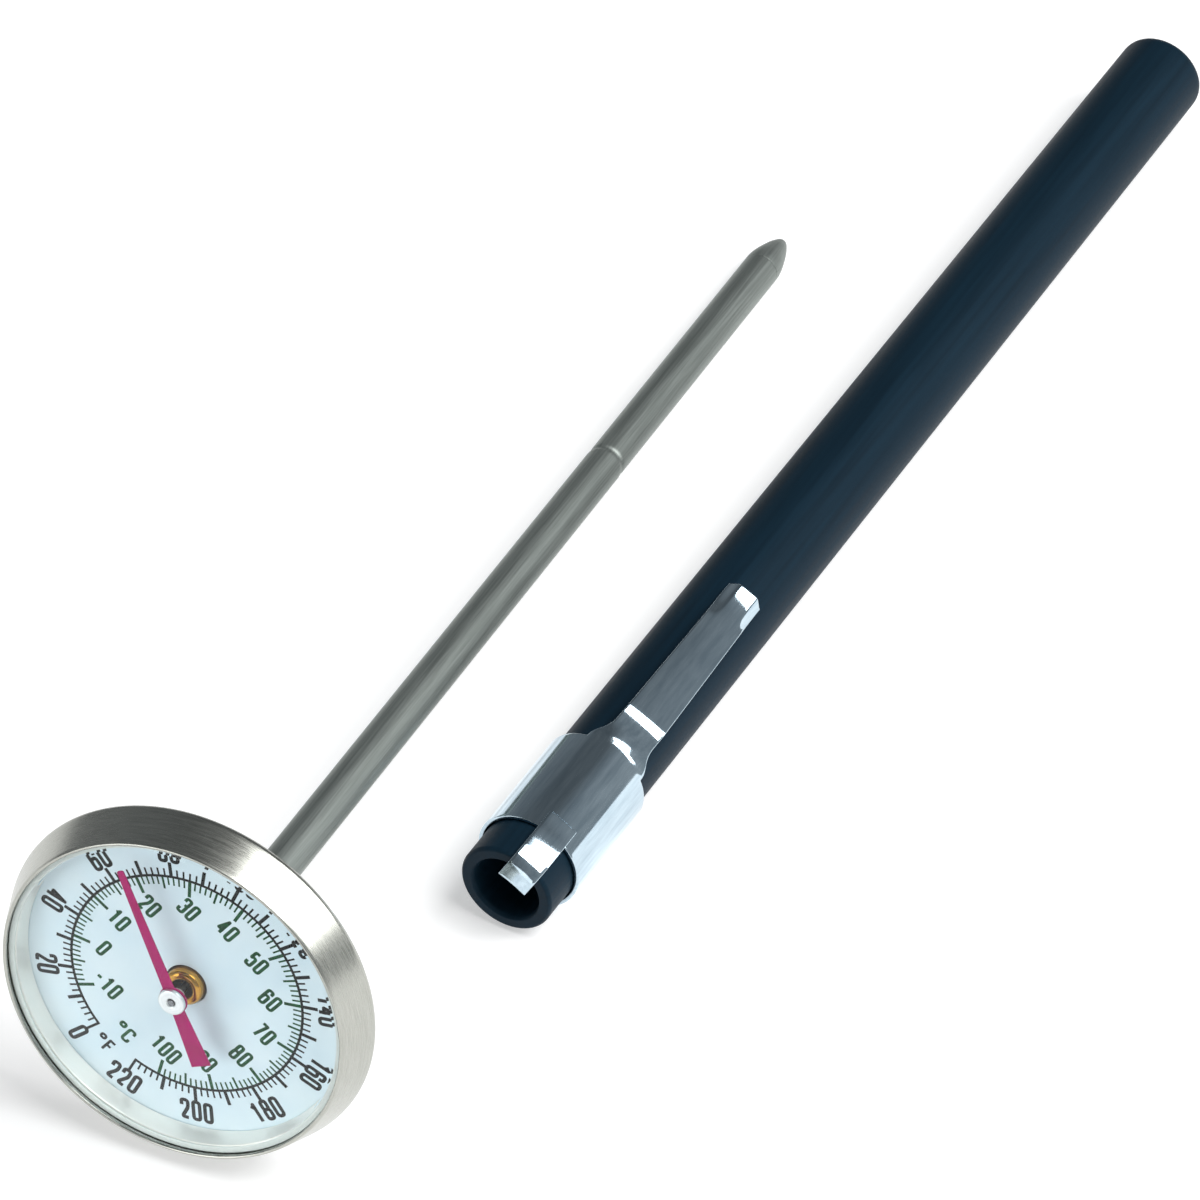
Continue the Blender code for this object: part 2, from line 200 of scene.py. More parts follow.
def outward(points, faces):
    """Faces the other way round where the volume they enclose comes out negative."""
    a, b, c, d = (points[faces[:, k]] for k in range(4))
    volume = np.sum(a * np.cross(b, c)) + np.sum(a * np.cross(c, d))
    return faces[:, ::-1] if volume < 0 else faces


def make_piece(name, shells, material, axes, crease=32.0):
    """One mesh from several grids. Doubles are merged, which closes poles and seams."""
    points, lays, faces, count = [], [], [], 0
    for grid, lay, wrap_rows, wrap_cols in shells:
        flat = place(grid.reshape(-1, 3), axes)
        own = outward(flat, quads(grid.shape[0], grid.shape[1], wrap_rows, wrap_cols))
        points.append(flat)
        lays.append(lay.reshape(-1, 3))
        faces.append(own + count)
        count += len(flat)
    return mesh_object(name, np.concatenate(points), np.concatenate(faces),
                       np.concatenate(lays), material, crease)


def mesh_object(name, points, faces, lays, material, crease):
    mesh = bpy.data.meshes.new(name)
    mesh.from_pydata(points, [], faces.tolist())
    lay = mesh.attributes.new("lay", "FLOAT_VECTOR", "POINT")
    lay.data.foreach_set("vector", lays.astype(np.float32).ravel())
    bm = bmesh.new()
    bm.from_mesh(mesh)
    bmesh.ops.remove_doubles(bm, verts=bm.verts, dist=1e-8)
    bm.to_mesh(mesh)
    bm.free()
    piece = bpy.data.objects.new(name, mesh)
    bpy.context.scene.collection.objects.link(piece)
    smooth(mesh, crease)
    mesh.materials.append(material)
    return piece


def smooth(mesh, crease):
    mesh.shade_smooth()
    mesh.set_sharp_from_angle(angle=math.radians(crease))


def settle(piece, crease=32.0):
    """The modifiers' result becomes the mesh."""
    graph = bpy.context.evaluated_depsgraph_get()
    mesh = bpy.data.meshes.new_from_object(piece.evaluated_get(graph))
    piece.modifiers.clear()
    piece.data = mesh
    smooth(mesh, crease)


def fit(piece, body, slot, *nodes):
    """The piece rides on a body and stands for CAD nodes, which are hidden. The slot argument is not
    used.
    """
    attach(piece, body)
    if nodes:
        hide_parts(*nodes)


def dress(node, material):
    """A better material for a CAD node that stays."""
    piece = frame["nodes"][node]
    piece.data.materials.clear()
    piece.data.materials.append(material)


# ---------------------------------------------------------------- materials

def add_node(tree, kind, settings=None, inputs=None):
    """A node with its settings and inputs. An output socket as a value is linked."""
    made = tree.nodes.new(kind)
    for key, value in (settings or {}).items():
        setattr(made, key, value)
    for key, value in (inputs or {}).items():
        if isinstance(value, bpy.types.NodeSocket):
            tree.links.new(value, made.inputs[key])
        else:
            made.inputs[key].default_value = value
    return made


def start_material(name, values):
    """A material with one Principled shader. Its constants sit on the shader's sockets."""
    material = bpy.data.materials.new(name)
    material.use_nodes = True
    tree = material.node_tree
    tree.nodes.clear()
    shader = add_node(tree, "ShaderNodeBsdfPrincipled", inputs=values)
    add_node(tree, "ShaderNodeOutputMaterial", inputs={"Surface": shader.outputs["BSDF"]})
    return material, tree, shader


def grain_value(tree, source, scale, detail):
    """Noise over coordinates stretched by scale, which is cycles per unit on each axis."""
    spread = add_node(tree, "ShaderNodeMapping",
                      inputs={"Vector": source, "Scale": scale})
    noise = add_node(tree, "ShaderNodeTexNoise", {"noise_dimensions": "3D"},
                     {"Vector": spread.outputs["Vector"], "Scale": 1.0, "Detail": detail,
                      "Roughness": 0.6})
    return noise.outputs["Fac"]


def ranged(tree, value, low, high, source=(0.3, 0.7)):
    """A value moved from its source range to low..high and held there."""
    moved = add_node(tree, "ShaderNodeMapRange", {"clamp": True},
                     {"Value": value, "From Min": source[0], "From Max": source[1],
                      "To Min": low, "To Max": high})
    return moved.outputs["Result"]


def tinted(tree, value, first, second):
    """A colour between two others, led by a value from 0 to 1."""
    mixed = add_node(tree, "ShaderNodeMix", {"data_type": "RGBA"})
    tree.links.new(value, mixed.inputs[0])
    mixed.inputs[6].default_value = (*first, 1)
    mixed.inputs[7].default_value = (*second, 1)
    return mixed.outputs[2]


def raised(tree, value, strength, distance):
    bump = add_node(tree, "ShaderNodeBump",
                    inputs={"Height": value, "Strength": strength, "Distance": distance})
    return bump.outputs["Normal"]


def lay_of(tree):
    return add_node(tree, "ShaderNodeAttribute", {"attribute_name": "lay"}).outputs["Vector"]


def object_space(tree):
    return add_node(tree, "ShaderNodeTexCoord").outputs["Object"]


def metal_material(name, bright, dull, roughness, scale, bump, source=lay_of):
    """Metal with tool marks: fine noise stretched along the marks moves the roughness
    and the tint, and a shallow bump breaks up the reflections."""
    material, tree, shader = start_material(name, {"Metallic": 1.0})
    coordinates = source(tree)
    marks = grain_value(tree, coordinates, scale, 3.0)
    cloud = grain_value(tree, object_space(tree), (260, 260, 260), 2.0)
    tree.links.new(tinted(tree, ranged(tree, marks, 0, 1), linear(dull), linear(bright)),
                   shader.inputs["Base Color"])
    rough = add_node(tree, "ShaderNodeMath", {"operation": "ADD"},
                     {0: ranged(tree, marks, roughness[0], roughness[1]),
                      1: ranged(tree, cloud, -0.01, 0.01)})
    tree.links.new(rough.outputs[0], shader.inputs["Roughness"])
    tree.links.new(raised(tree, marks, bump, 2e-5), shader.inputs["Normal"])
    return material


def spun_stainless():
    """Spun and polished stainless steel: a warm grey satin with fine rings round the rim,
    about 0.06 mm apart and drawn at 0.1 mm so that they show."""
    return metal_material("spun_stainless", "#B8B9B2", "#A9AAA3", (0.24, 0.31),
                          (0.5, 0.5, 10.0), 0.05)


def drawn_stainless():
    """Drawn stainless tube: satin with long scratches 0.1 mm wide down its length."""
    return metal_material("drawn_stainless", "#9EA4A0", "#8B918D", (0.50, 0.58),
                          (7.0, 7.0, 0.12), 0.05)


def nickel_sheet():
    """Nickel-plated spring steel: close to a mirror, with faint rolling lines."""
    return metal_material("nickel_sheet", "#CCDDE7", "#AFC2CE", (0.08, 0.12),
                          (1.6, 1.6, 0.16), 0.02)


def turned_aluminium():
    """Turned aluminium: near white, satin, with rings 0.1 mm apart."""
    return metal_material("turned_aluminium", "#F1F3F4", "#D9DCDE", (0.30, 0.42),
                          (0.6, 0.6, 9.0), 0.10)


def bright_aluminium():
    """Bright-rolled aluminium strip, bent to a ring and lightly oxidised."""
    return metal_material("bright_aluminium", "#FFFDF8", "#FBF8F0", (0.50, 0.60),
                          (0.4, 0.4, 6.0), 0.02)


def turned_brass():
    """Turned brass: yellow-gold with deeper rings from the tool."""
    return metal_material("turned_brass", "#D9A54C", "#A9762A", (0.16, 0.30),
                          (0.5, 0.5, 10.0), 0.12)


def plated_steel():
    """Zinc-plated steel for the nut and the washer: cool, slightly cloudy."""
    return metal_material("plated_steel", "#BFC4C8", "#9BA1A6", (0.26, 0.42),
                          (1.2, 1.2, 3.0), 0.08)


def hidden_metal(name, bright, dull):
    """Metal for the inner parts of the movement, marked on object coordinates."""
    return metal_material(name, bright, dull, (0.26, 0.40), (2500, 2500, 2500), 0.08,
                          object_space)


def dial_enamel():
    """Baked enamel on aluminium sheet: pale blue-white with a faint orange-peel skin."""
    material, tree, shader = start_material("dial_enamel", {"IOR": 1.5, "Roughness": 0.38})
    where = object_space(tree)
    cloud = grain_value(tree, where, (180, 180, 180), 2.0)
    peel = grain_value(tree, where, (4000, 4000, 4000), 1.0)
    tree.links.new(tinted(tree, ranged(tree, cloud, 0, 1), linear("#CBDDE7"),
                          linear("#D6E4EB")), shader.inputs["Base Color"])
    tree.links.new(raised(tree, peel, 0.05, 1e-5), shader.inputs["Normal"])
    return material


def printing_ink(name, dark, worn):
    """Pad-printed ink: matt and thin, so that its tone breaks up a little."""
    material, tree, shader = start_material(name, {"IOR": 1.48, "Roughness": 0.55,
                                                    "Specular IOR Level": 0.15})
    cloud = grain_value(tree, object_space(tree), (2600, 2600, 2600), 2.0)
    tree.links.new(tinted(tree, ranged(tree, cloud, 0, 1, (0.42, 0.72)), linear(dark),
                          linear(worn)), shader.inputs["Base Color"])
    return material


def pointer_lacquer():
    """Crimson lacquer on a stamped aluminium blade: satin, a shade darker in patches."""
    material, tree, shader = start_material("pointer_lacquer",
                                            {"IOR": 1.5, "Specular IOR Level": 0.10})
    cloud = grain_value(tree, object_space(tree), (700, 700, 700), 3.0)
    tree.links.new(tinted(tree, ranged(tree, cloud, 0, 1), linear("#960052"),
                          linear("#A60464")), shader.inputs["Base Color"])
    tree.links.new(ranged(tree, cloud, 0.34, 0.46), shader.inputs["Roughness"])
    return material


def sheath_plastic():
    """Injection-moulded polypropylene, blue-black: satin, with faint flow lines along
    the tube and a fine grain."""
    material, tree, shader = start_material("sheath_plastic",
                                            {"IOR": 1.49, "Specular IOR Level": 0.14,
                                             "Specular Tint": (0.62, 0.82, 1.0, 1)})
    flow = grain_value(tree, lay_of(tree), (1.4, 1.4, 0.05), 3.0)
    fine = grain_value(tree, object_space(tree), (5200, 5200, 5200), 2.0)
    tree.links.new(tinted(tree, ranged(tree, flow, 0, 1), linear("#0A1B26"),
                          linear("#0E2330")), shader.inputs["Base Color"])
    rough = add_node(tree, "ShaderNodeMath", {"operation": "ADD"},
                     {0: ranged(tree, flow, 0.44, 0.54), 1: ranged(tree, fine, 0, 0.06)})
    tree.links.new(rough.outputs[0], shader.inputs["Roughness"])
    tree.links.new(raised(tree, fine, 0.10, 1.5e-5), shader.inputs["Normal"])
    return material


def rubber(name, first, second, roughness):
    """Moulded rubber: matt, with a fine uneven skin."""
    material, tree, shader = start_material(name, {"IOR": 1.5})
    skin = grain_value(tree, object_space(tree), (3000, 3000, 3000), 2.0)
    tree.links.new(tinted(tree, skin, linear(first), linear(second)),
                   shader.inputs["Base Color"])
    tree.links.new(ranged(tree, skin, roughness - 0.06, roughness + 0.06),
                   shader.inputs["Roughness"])
    return material


def clear_acrylic():
    """Moulded acrylic window: clear and glossy, with the muted reflections of a coated
    face. Lamps pass straight through it, so the dial behind is lit softly."""
    material, tree, shader = start_material(
        "clear_acrylic", {"IOR": 1.49, "Roughness": 0.0, "Transmission Weight": 1.0,
                          "Specular IOR Level": 0.5, "Specular Tint": (0.3, 0.3, 0.3, 1),
                          "Base Color": (*linear("#FBFDFD"), 1)})
    path = add_node(tree, "ShaderNodeLightPath")
    through = add_node(tree, "ShaderNodeBsdfTransparent",
                       inputs={"Color": (*linear("#F4F8F8"), 1)})
    mixed = add_node(tree, "ShaderNodeMixShader",
                     inputs={0: path.outputs["Is Shadow Ray"], 1: shader.outputs["BSDF"],
                             2: through.outputs["BSDF"]})
    out = next(n for n in tree.nodes if n.type == "OUTPUT_MATERIAL")
    tree.links.new(mixed.outputs[0], out.inputs["Surface"])
    return material


def floor_paint():
    """Matt white acrylic table with a trace of unevenness, lit a little from below."""
    material, tree, shader = start_material(
        "floor_paint", {"IOR": 1.45, "Roughness": 0.85, "Emission Color": (1, 1, 1, 1),
                        "Emission Strength": 0.45})
    cloud = grain_value(tree, object_space(tree), (4, 4, 4), 2.0)
    tree.links.new(tinted(tree, cloud, linear("#D0D0D0"), linear("#D4D4D4")),
                   shader.inputs["Base Color"])
    return material


# ---------------------------------------------------------------- settings

class CaseSettings(bpy.types.PropertyGroup):
    rim_radius: FloatProperty(name="Rim radius", description="Widest radius of the head",
                              default=17.2 * MM, unit="LENGTH", precision=5)
    lip_radius: FloatProperty(name="Lip radius", description="Radius of the front opening",
                              default=15.6 * MM, unit="LENGTH", precision=5)
    apex: FloatProperty(name="Window height", description="Top of the window over the dial",
                        default=4.4 * MM, unit="LENGTH", precision=5)


class DialSettings(bpy.types.PropertyGroup):
    scale_radius: FloatProperty(name="Scale radius", description="Radius of the printed arc",
                                default=10.75 * MM, unit="LENGTH", precision=5)


class PointerSettings(bpy.types.PropertyGroup):
    length: FloatProperty(name="Pointer length", description="From the axis to the tip",
                          default=12.7 * MM, unit="LENGTH", precision=5)
    reading: FloatProperty(name="Reading", description="Reading at rest in degrees F",
                           default=70.0, min=0.0, max=220.0)


class StemSettings(bpy.types.PropertyGroup):
    radius: FloatProperty(name="Stem radius", description="Radius above the neck",
                          default=1.8 * MM, unit="LENGTH", precision=5)


class SheathSettings(bpy.types.PropertyGroup):
    length: FloatProperty(name="Sheath length", description="Mouth to closed end",
                          default=130.0 * MM, unit="LENGTH", precision=5)
    wall_steps: IntProperty(name="Steps around", description="Faces round the tube",
                            default=128, min=24, max=256)


class ClipSettings(bpy.types.PropertyGroup):
    sheet: FloatProperty(name="Clip sheet", description="Thickness of the spring sheet",
                         default=0.38 * MM, unit="LENGTH", precision=5)


class StageSettings(bpy.types.PropertyGroup):
    azimuth: FloatProperty(name="Azimuth", description="Camera bearing round the object",
                           default=math.radians(28.9), subtype="ANGLE")
    elevation: FloatProperty(name="Elevation", description="Camera height angle",
                             default=math.radians(42.23), subtype="ANGLE")
    focal_length: FloatProperty(name="Focal length", description="In millimetres",
                                default=270.0, subtype="DISTANCE_CAMERA")


# ---------------------------------------------------------------- case and window

def case_pieces(case):
    """Bezel and case back, each a rounded profile turned round the stem's axis."""
    rim, lip = case.rim_radius / MM, case.lip_radius / MM
    steel = spun_stainless()
    bezel = rounded([(lip, 2.92), (lip + 0.01, 3.14), (lip + 0.16, 3.23), (15.88, 3.19),
                     (15.99, 3.02), (rim - 0.08, -0.30), (rim, -0.62), (rim - 0.12, -0.98),
                     (16.62, -1.46), (15.70, -1.60), (15.70, -1.34), (16.45, -1.14),
                     (16.80, -0.82), (16.82, -0.45), (15.82, 2.84)],
                    [.04, .08, .08, .08, .14, .25, .25, .25, .4, .05, .05, .2, .2, .2, .05])
    piece = make_piece("bezel", [turned(loop(bezel), 240)], steel, DIAL)
    fit(piece, "case", "stainless_satin", "bezel")
    back = rounded([(1.62, -1.75), (3.9, -1.75), (4.3, -1.62), (14.2, -1.62), (14.6, -1.75),
                    (15.20, -1.75), (15.50, -1.22), (15.52, -1.02), (16.30, -1.02),
                    (16.30, -0.72), (15.25, -0.72), (15.05, -1.27), (1.62, -1.27)],
                   [.05, .2, .2, .2, .2, .12, .1, .05, .05, .05, .1, .1, .05])
    piece = make_piece("case_back", [turned(loop(back), 200)], steel, DIAL)
    fit(piece, "case", "stainless_satin", "case_back")
    dress("dial_seat_gasket", rubber("nitrile_gasket", "#0C0C0C", "#1A1A1A", 0.8))


WINDOW_WALL = 0.8
WINDOW_EDGE, WINDOW_UNDER_EDGE = 2.86, 2.40


def window_pieces(case):
    """The window's dome falls with the cube of the radius: z = apex - fall * u^3, so it is
    nearly flat in the middle and curls at its edge, where a flange sits under the lip."""
    apex, dome = case.apex / MM, case.lip_radius / MM - 0.05
    u = np.sin(np.linspace(0, 0.5 * math.pi, 56))[:, None]
    outer = np.hstack((dome * u, apex - (apex - WINDOW_EDGE) * u ** 3))
    under = apex - WINDOW_WALL
    inner = np.hstack(((dome - 0.70) * u, under - (under - WINDOW_UNDER_EDGE) * u ** 3))
    flange = rounded([outer[-1], (15.74, 2.84), (15.74, 2.40), inner[-1]], 0.06, False, 4)
    profile = np.vstack((outer[:-1], flange, inner[::-1][1:]))
    piece = make_piece("lens", [turned(profile, 240)], clear_acrylic(), DIAL, 60)
    fit(piece, "case", "lens_acrylic", "lens")

    spacer = rounded([(14.75, 0.06), (15.30, 0.06), (15.30, 2.02), (14.95, 2.02)],
                     [.05, .05, .12, .12])
    piece = make_piece("spacer_ring", [turned(loop(spacer), 240)], bright_aluminium(), DIAL)
    fit(piece, "case", "aluminium_bright", "spacer_ring")
    seal = rounded([(14.97, 2.10), (15.60, 2.10), (15.60, 2.32), (14.97, 2.32)], 0.1)
    piece = make_piece("lens_gasket", [turned(loop(seal), 200)],
                       rubber("clear_gasket", "#C9CFCB", "#DDE2DE", 0.40), DIAL)
    fit(piece, "case", "clear_gasket", "lens_gasket")


# ---------------------------------------------------------------- dial

SCALE_ZERO = 221.47
SCALE_STEP = 1.52775
DIAL_TURN = -36.6
PRINT_RISE = 0.012
ARC_HALF_WIDTH = 0.12
SIGN_GAP = 0.16
# Ticks: reach from the arc and width. Numerals and units: radius, then bearing in degrees.
F_SHORT, F_LONG, F_END = (0.78, 0.17), (1.45, 0.32), (1.45, 0.24)
C_SHORT, C_MIDDLE, C_LONG = (0.85, 0.16), (1.25, 0.20), (1.65, 0.30)
C_INSET = 0.1
F_NUMERALS, F_UNIT = 13.20, (11.7, -129.6)
C_NUMERALS, C_UNIT = 7.80, (9.1, -128.2)

# Condensed signs as strokes on a cell one wide and one high: corners and their radius
SIGNS = {
    "0": [([(0, 0), (1, 0), (1, 1), (0, 1)], 0.5, True)],
    "1": [([(0.10, 0.78), (0.52, 0.92), (0.60, 1), (0.60, 0)], 0.10, False)],
    "2": [([(0.02, 0.70), (0, 1), (1, 1), (1, 0.60), (0.02, 0.02), (1, 0.0)], 0.45, False)],
    "3": [([(0, 0.74), (0, 1), (1, 1), (1, 0.53), (0.40, 0.53)], 0.42, False),
          ([(0.40, 0.53), (1, 0.53), (1, 0), (0, 0), (0, 0.26)], 0.42, False)],
    "4": [([(0.76, 0), (0.76, 1), (0, 0.27), (1.08, 0.27)], 0.04, False)],
    "5": [([(0.92, 1), (0.12, 1), (0.06, 0.52), (0.42, 0.64), (1, 0.60), (1, 0), (0, 0),
            (0, 0.24)], 0.30, False)],
    "6": [([(0.98, 0.76), (1, 1), (0, 1), (0, 0), (1, 0), (1, 0.60), (0.10, 0.58),
            (0.02, 0.36)], 0.45, False)],
    "7": [([(0, 1), (1, 1), (0.34, 0)], 0.04, False)],
    "8": [([(0.06, 0.53), (0.94, 0.53), (0.94, 1), (0.06, 1)], 0.40, True),
          ([(0, 0), (1, 0), (1, 0.53), (0, 0.53)], 0.42, True)],
    "9": [([(0.02, 0.24), (0, 0), (1, 0), (1, 1), (0, 1), (0, 0.40), (0.90, 0.42),
            (0.98, 0.64)], 0.45, False)],
    "-": [([(0.15, 0.52), (0.95, 0.52)], 0.01, False)],
    "d": [([(0.10, 0.72), (0.90, 0.72), (0.90, 1.02), (0.10, 1.02)], 0.4, True)],
    "F": [([(0.05, 0), (0.05, 1), (1, 1)], 0.02, False),
          ([(0.05, 0.53), (0.86, 0.53)], 0.01, False)],
    "C": [([(1, 0.74), (1, 1), (0, 1), (0, 0), (1, 0), (1, 0.26)], 0.45, False)],
}


def sign_shells(text, height, width, stroke, centre, turn):
    """The strokes of a short text, centred on a point and turned by an angle in degrees."""
    pitch = width + stroke + SIGN_GAP
    c, s = math.cos(math.radians(turn)), math.sin(math.radians(turn))
    shells = []
    for index, sign in enumerate(text):
        left = (index - (len(text) - 1) / 2) * pitch - width / 2
        for corners, radius, closed in SIGNS[sign]:
            flat = np.array(corners) * (width, height) + (left, -height / 2)
            line = rounded(flat, radius * width, closed, 8)
            if closed:
                line = loop(line)
            line = line @ np.array(((c, s), (-s, c))) + centre
            shells.append(bar(line, stroke / 2, PRINT_RISE / 2, PRINT_RISE / 2))
    return shells


def on_dial(radius, angle):
    return np.array((radius * math.cos(math.radians(angle)),
                     radius * math.sin(math.radians(angle))))


def scale_angle(fahrenheit):
    return SCALE_ZERO - SCALE_STEP * fahrenheit


def tick(fahrenheit, first, last, width):
    angle = scale_angle(fahrenheit)
    return bar([on_dial(first, angle), on_dial((first + last) / 2, angle),
                on_dial(last, angle)], width / 2, PRINT_RISE / 2, PRINT_RISE / 2)


def fahrenheit_print(radius):
    """Arc, outward ticks every 2 degrees and numerals every 20 set along the radius."""
    angles = np.radians(np.linspace(scale_angle(0), scale_angle(220), 360))
    arc = radius * np.stack((np.cos(angles), np.sin(angles)), 1)
    shells = [bar(arc, ARC_HALF_WIDTH, PRINT_RISE / 2, PRINT_RISE / 2)]
    for value in range(0, 221, 2):
        inner = radius
        if value in (0, 220):
            inner, (reach, width) = radius - ARC_HALF_WIDTH, F_END
        else:
            reach, width = F_SHORT if value % 10 else F_LONG
        shells.append(tick(value, inner, radius + reach, width))
    for value in range(0, 221, 20):
        angle = scale_angle(value)
        upright = math.sin(math.radians(angle - DIAL_TURN)) > 0
        turn = angle - 90 if upright else angle + 90
        shells += sign_shells(str(value), 1.80, 0.60, 0.34, on_dial(F_NUMERALS, angle), turn)
    shells += sign_shells("dF", 1.35, 0.56, 0.25, on_dial(*F_UNIT), DIAL_TURN)
    return shells


def celsius_print(radius):
    """Inward ticks every degree and numerals every 10, all upright on the dial."""
    shells = []
    for value in range(-10, 101):
        reading = 32 + 1.8 * value
        kind = C_LONG if value % 10 == 0 else C_MIDDLE if value % 5 == 0 else C_SHORT
        shells.append(tick(reading, radius - C_INSET, radius - kind[0], kind[1]))
    for value in range(-10, 101, 10):
        middle = on_dial(C_NUMERALS, scale_angle(32 + 1.8 * value))
        shells += sign_shells(str(value), 1.66, 0.50, 0.30, middle, DIAL_TURN)
    shells += sign_shells("dC", 1.45, 0.58, 0.28, on_dial(*C_UNIT), DIAL_TURN)
    return shells


def dial_pieces(dial):
    plate = rounded([(1.90, -0.30), (15.2, -0.30), (15.2, 0.0), (1.90, 0.0)], 0.06)
    piece = make_piece("dial_plate", [turned(loop(plate), 200)], dial_enamel(), DIAL)
    fit(piece, "case", "dial_enamel", "dial_plate")
    radius = dial.scale_radius / MM
    piece = make_piece("fahrenheit_print", fahrenheit_print(radius),
                       printing_ink("black_ink", "#030405", "#0E1013"), DIAL)
    fit(piece, "case", "dial_enamel")
    piece = make_piece("celsius_print", celsius_print(radius),
                       printing_ink("green_ink", "#003C1C", "#08552C"), DIAL)
    fit(piece, "case", "dial_enamel")


# ---------------------------------------------------------------- stem and movement

def stem_pieces(stem):
    radius = stem.radius / MM
    steel = drawn_stainless()
    probe = radius - 0.03
    tube = rounded([(1.50, -1.85), (radius, -1.85), (radius, -86.48), (radius - 0.14, -86.78),
                    (radius - 0.14, -87.02), (probe, -87.32), (probe, -123.0),
                    (1.46, -123.0), (1.46, -87.3), (1.36, -87.02), (1.36, -86.78),
                    (1.50, -86.5)], [.04, .1, .22, .1, .1, .22, .03, .03, .05, .05, .05, .05])
    tube = refined(loop(tube), 3.0)
    piece = make_piece("stem_tube", [turned(tube, 72)], steel, DIAL)
    fit(piece, "stem", "stainless_satin", "stem_tube")
    tip = rounded([(0, -121.9), (1.40, -121.9), (1.40, -123.03), (probe, -123.06),
                   (probe, -123.9), (1.60, -125.0), (1.12, -126.9), (0.60, -128.2),
                   (0.32, -128.55), (0, -128.6)],
                  [.01, .05, .02, .04, .5, .8, .8, .4, .2, .01], False)
    piece = make_piece("stem_tip", [turned(refined(tip, 0.5), 72)], steel, DIAL)
    fit(piece, "stem", "stainless_satin", "stem_tip")

    bushing = rounded([(0.90, 0.60), (1.06, 0.86), (1.42, 0.84), (1.70, 0.60), (1.75, 0.28),
                       (1.75, -1.30), (1.42, -1.30), (1.42, -6.0), (0.90, -6.0)],
                      [.06, .14, .2, .2, .2, .05, .05, .05, .05])
    piece = make_piece("bushing", [turned(loop(bushing), 96)], turned_brass(), DIAL)
    fit(piece, "stem", "brass", "bushing")


NUT_LOW, NUT_HIGH = -5.13, -2.17
NUT_APOTHEM, NUT_BORE = 4.0, 1.92
NUT_CHAMFER_RADIUS, NUT_CHAMFER_SLOPE = 4.18, 1.6


def nut_piece():
    """A hexagon nut: the flats' distance is apothem / cos(a - nearest flat), cut by a
    chamfer cone at both ends, round a bore for the stem."""
    steps, levels = 180, 40
    angle = np.linspace(0, FULL_TURN, steps, endpoint=False)
    flat = NUT_APOTHEM / np.cos((angle + math.pi / 6) % (math.pi / 3) - math.pi / 6)
    side = np.linspace(NUT_HIGH, NUT_LOW, levels)[:, None]
    heights = np.vstack((side, ((NUT_LOW,), (NUT_HIGH,))))
    cone = NUT_CHAMFER_RADIUS + NUT_CHAMFER_SLOPE * np.minimum(NUT_HIGH - side, side - NUT_LOW)
    radii = np.concatenate((np.minimum(flat[None], cone), np.full((2, steps), NUT_BORE)))
    points = np.stack((radii * np.cos(angle), radii * np.sin(angle),
                       np.broadcast_to(heights, radii.shape)), -1)
    piece = make_piece("calibration_nut", [(points, points, True, True)], plated_steel(),
                       DIAL, 24)
    fit(piece, "stem", "nickel_plated_steel", "calibration_nut")


def movement_finishes():
    steel = hidden_metal("spring_steel", "#9A9A9C", "#7C7C80")
    brass = hidden_metal("guide_brass", "#C99A4A", "#A67C34")
    bimetal = hidden_metal("rolled_bimetal", "#A8927A", "#84705C")
    finishes = {"friction_washer": steel, "staff_guide_upper": brass,
                "staff_guide_lower": brass, "bimetal_coil": bimetal, "coil_anchor": steel,
                "coil_collar": steel}
    for node, material in finishes.items():
        dress(node, material)


# ---------------------------------------------------------------- pointer

def blade_outline(length):
    """Long arm, round boss and flared tail as one line round the axis, in order of angle."""
    boss, tip, arm, neck, tail, end = 1.30, 0.33, 0.56, 0.62, 0.95, 6.7
    a, b = math.asin(arm / boss), math.asin(neck / boss)
    side = np.linspace(a, math.pi - b, 24)
    round_boss = boss * np.stack((np.cos(side), np.sin(side)), 1)
    arm_line = np.linspace((length, tip), round_boss[0], 30)[:-1]
    nose = np.array([(length + 0.10, tip * 0.55), (length + 0.06, tip * 0.82)])
    tail_line = np.linspace(round_boss[-1], (-end, tail), 16)[1:]
    tail_end = np.linspace((-end, tail), (-end, 0), 8)[1:-1]
    half = np.vstack((nose, arm_line, round_boss, tail_line, tail_end))
    mirror = half[::-1] * (1, -1)
    return np.vstack(((length + 0.12, 0.0), half, (-end, 0.0), mirror))


